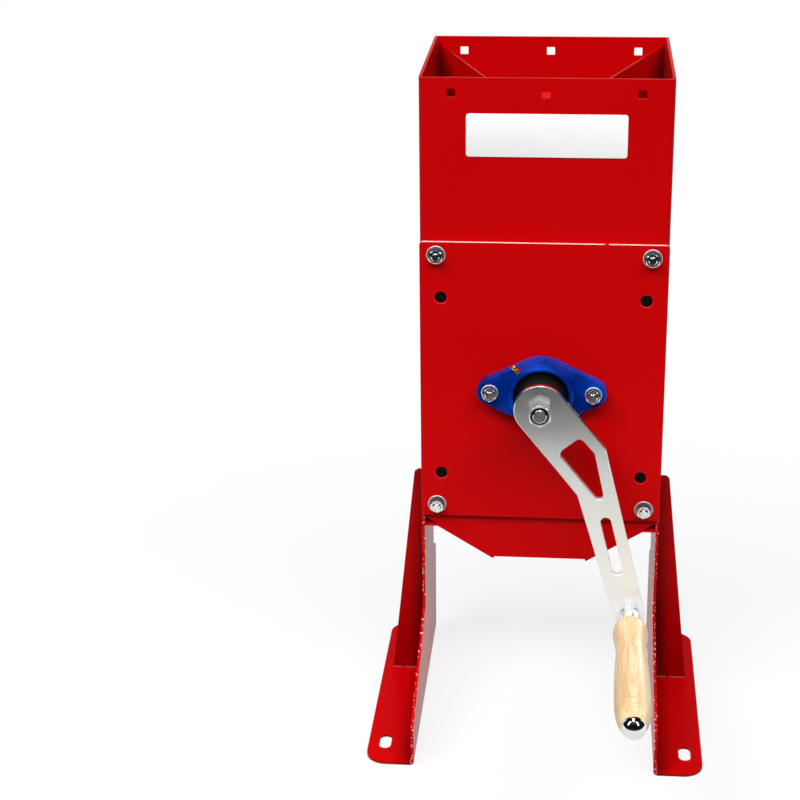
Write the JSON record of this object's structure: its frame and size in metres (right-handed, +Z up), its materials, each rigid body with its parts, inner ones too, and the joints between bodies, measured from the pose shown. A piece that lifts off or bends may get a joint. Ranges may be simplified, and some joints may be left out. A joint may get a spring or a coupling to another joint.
{
  "type": "hand crank nutcracker",
  "caption": "Bench nutcracker: sheet-metal hopper on splayed legs, a ribbed drum on a flange-bearing shaft between fixed jaws, turned by a crank with a wooden handle.",
  "frame": {"origin": "on the floor, midway between the four foot slots", "axes": "+Z up, the crank side faces -Y, +X to the right as seen from the crank side"},
  "size_m": [0.3394, 0.4988, 0.671],
  "materials": {
    "red_paint": "gloss red powder coat",
    "blue_paint": "gloss blue paint on a casting",
    "zinc_hardware": "bright zinc plate",
    "satin_plate": "satin zinc plate",
    "chrome": "polished",
    "wood": "clear varnish on pale wood",
    "brass": "bright",
    "black_rubber": "matt",
    "bright_steel": "turned",
    "black_steel": "blackened",
    "label_white": "bare label plate",
    "dark_cast_iron": "as cast"
  },
  "bodies": {
    "frame": {"housing_shell": "red_paint", "rear_wall": "red_paint", "front_bearing_plate": "red_paint", "rear_bearing_plate": "red_paint", "left_gusset": "red_paint", "right_gusset": "red_paint", "left_chute_plate": "red_paint", "right_chute_plate": "red_paint", "left_guide": "red_paint", "right_guide": "red_paint", "front_bearing_housing": "blue_paint", "rear_bearing_housing": "blue_paint", "bearing_bolts": "zinc_hardware", "bearing_nuts": "zinc_hardware", "bearing_washers": "zinc_hardware", "tie_rods": "zinc_hardware", "tie_rod_nuts": "zinc_hardware", "tie_rod_washers": "zinc_hardware", "grease_nipples": "brass", "front_bearing_seals": "black_rubber", "rear_bearing_seals": "black_rubber", "front_bearing_balls": "bright_steel", "rear_bearing_balls": "bright_steel", "jaw_bars": "black_steel", "front_bearing_outer_ring": "black_steel", "rear_bearing_outer_ring": "black_steel", "left_jaw": "dark_cast_iron", "right_jaw": "dark_cast_iron"},
    "rotor": {"shaft": "bright_steel", "drum_key": "bright_steel", "cracking_drum": "dark_cast_iron", "front_bearing_inner_ring": "bright_steel", "rear_bearing_inner_ring": "bright_steel", "bearing_set_screws": "bright_steel", "crank_spacer": "bright_steel", "crank_arm": "satin_plate", "crank_nut": "zinc_hardware", "handle_spindle": "bright_steel", "spindle_back_nut": "zinc_hardware", "spindle_end_nut": "zinc_hardware"},
    "handle": {"handle_grip": "wood", "handle_ferrule": "chrome", "handle_cap": "chrome"}
  },
  "joints": [
    {"name": "crank_turn", "type": "hinge", "parent": "frame", "child": "rotor", "pos_m": [0, 0, 0.3545], "axis": [0, -1, 0], "continuous": true},
    {"name": "handle_spin", "type": "hinge", "parent": "rotor", "child": "handle", "pos_m": [0.094, -0.0578, 0.1365], "axis": [0, -1, 0], "continuous": true}
  ]
}
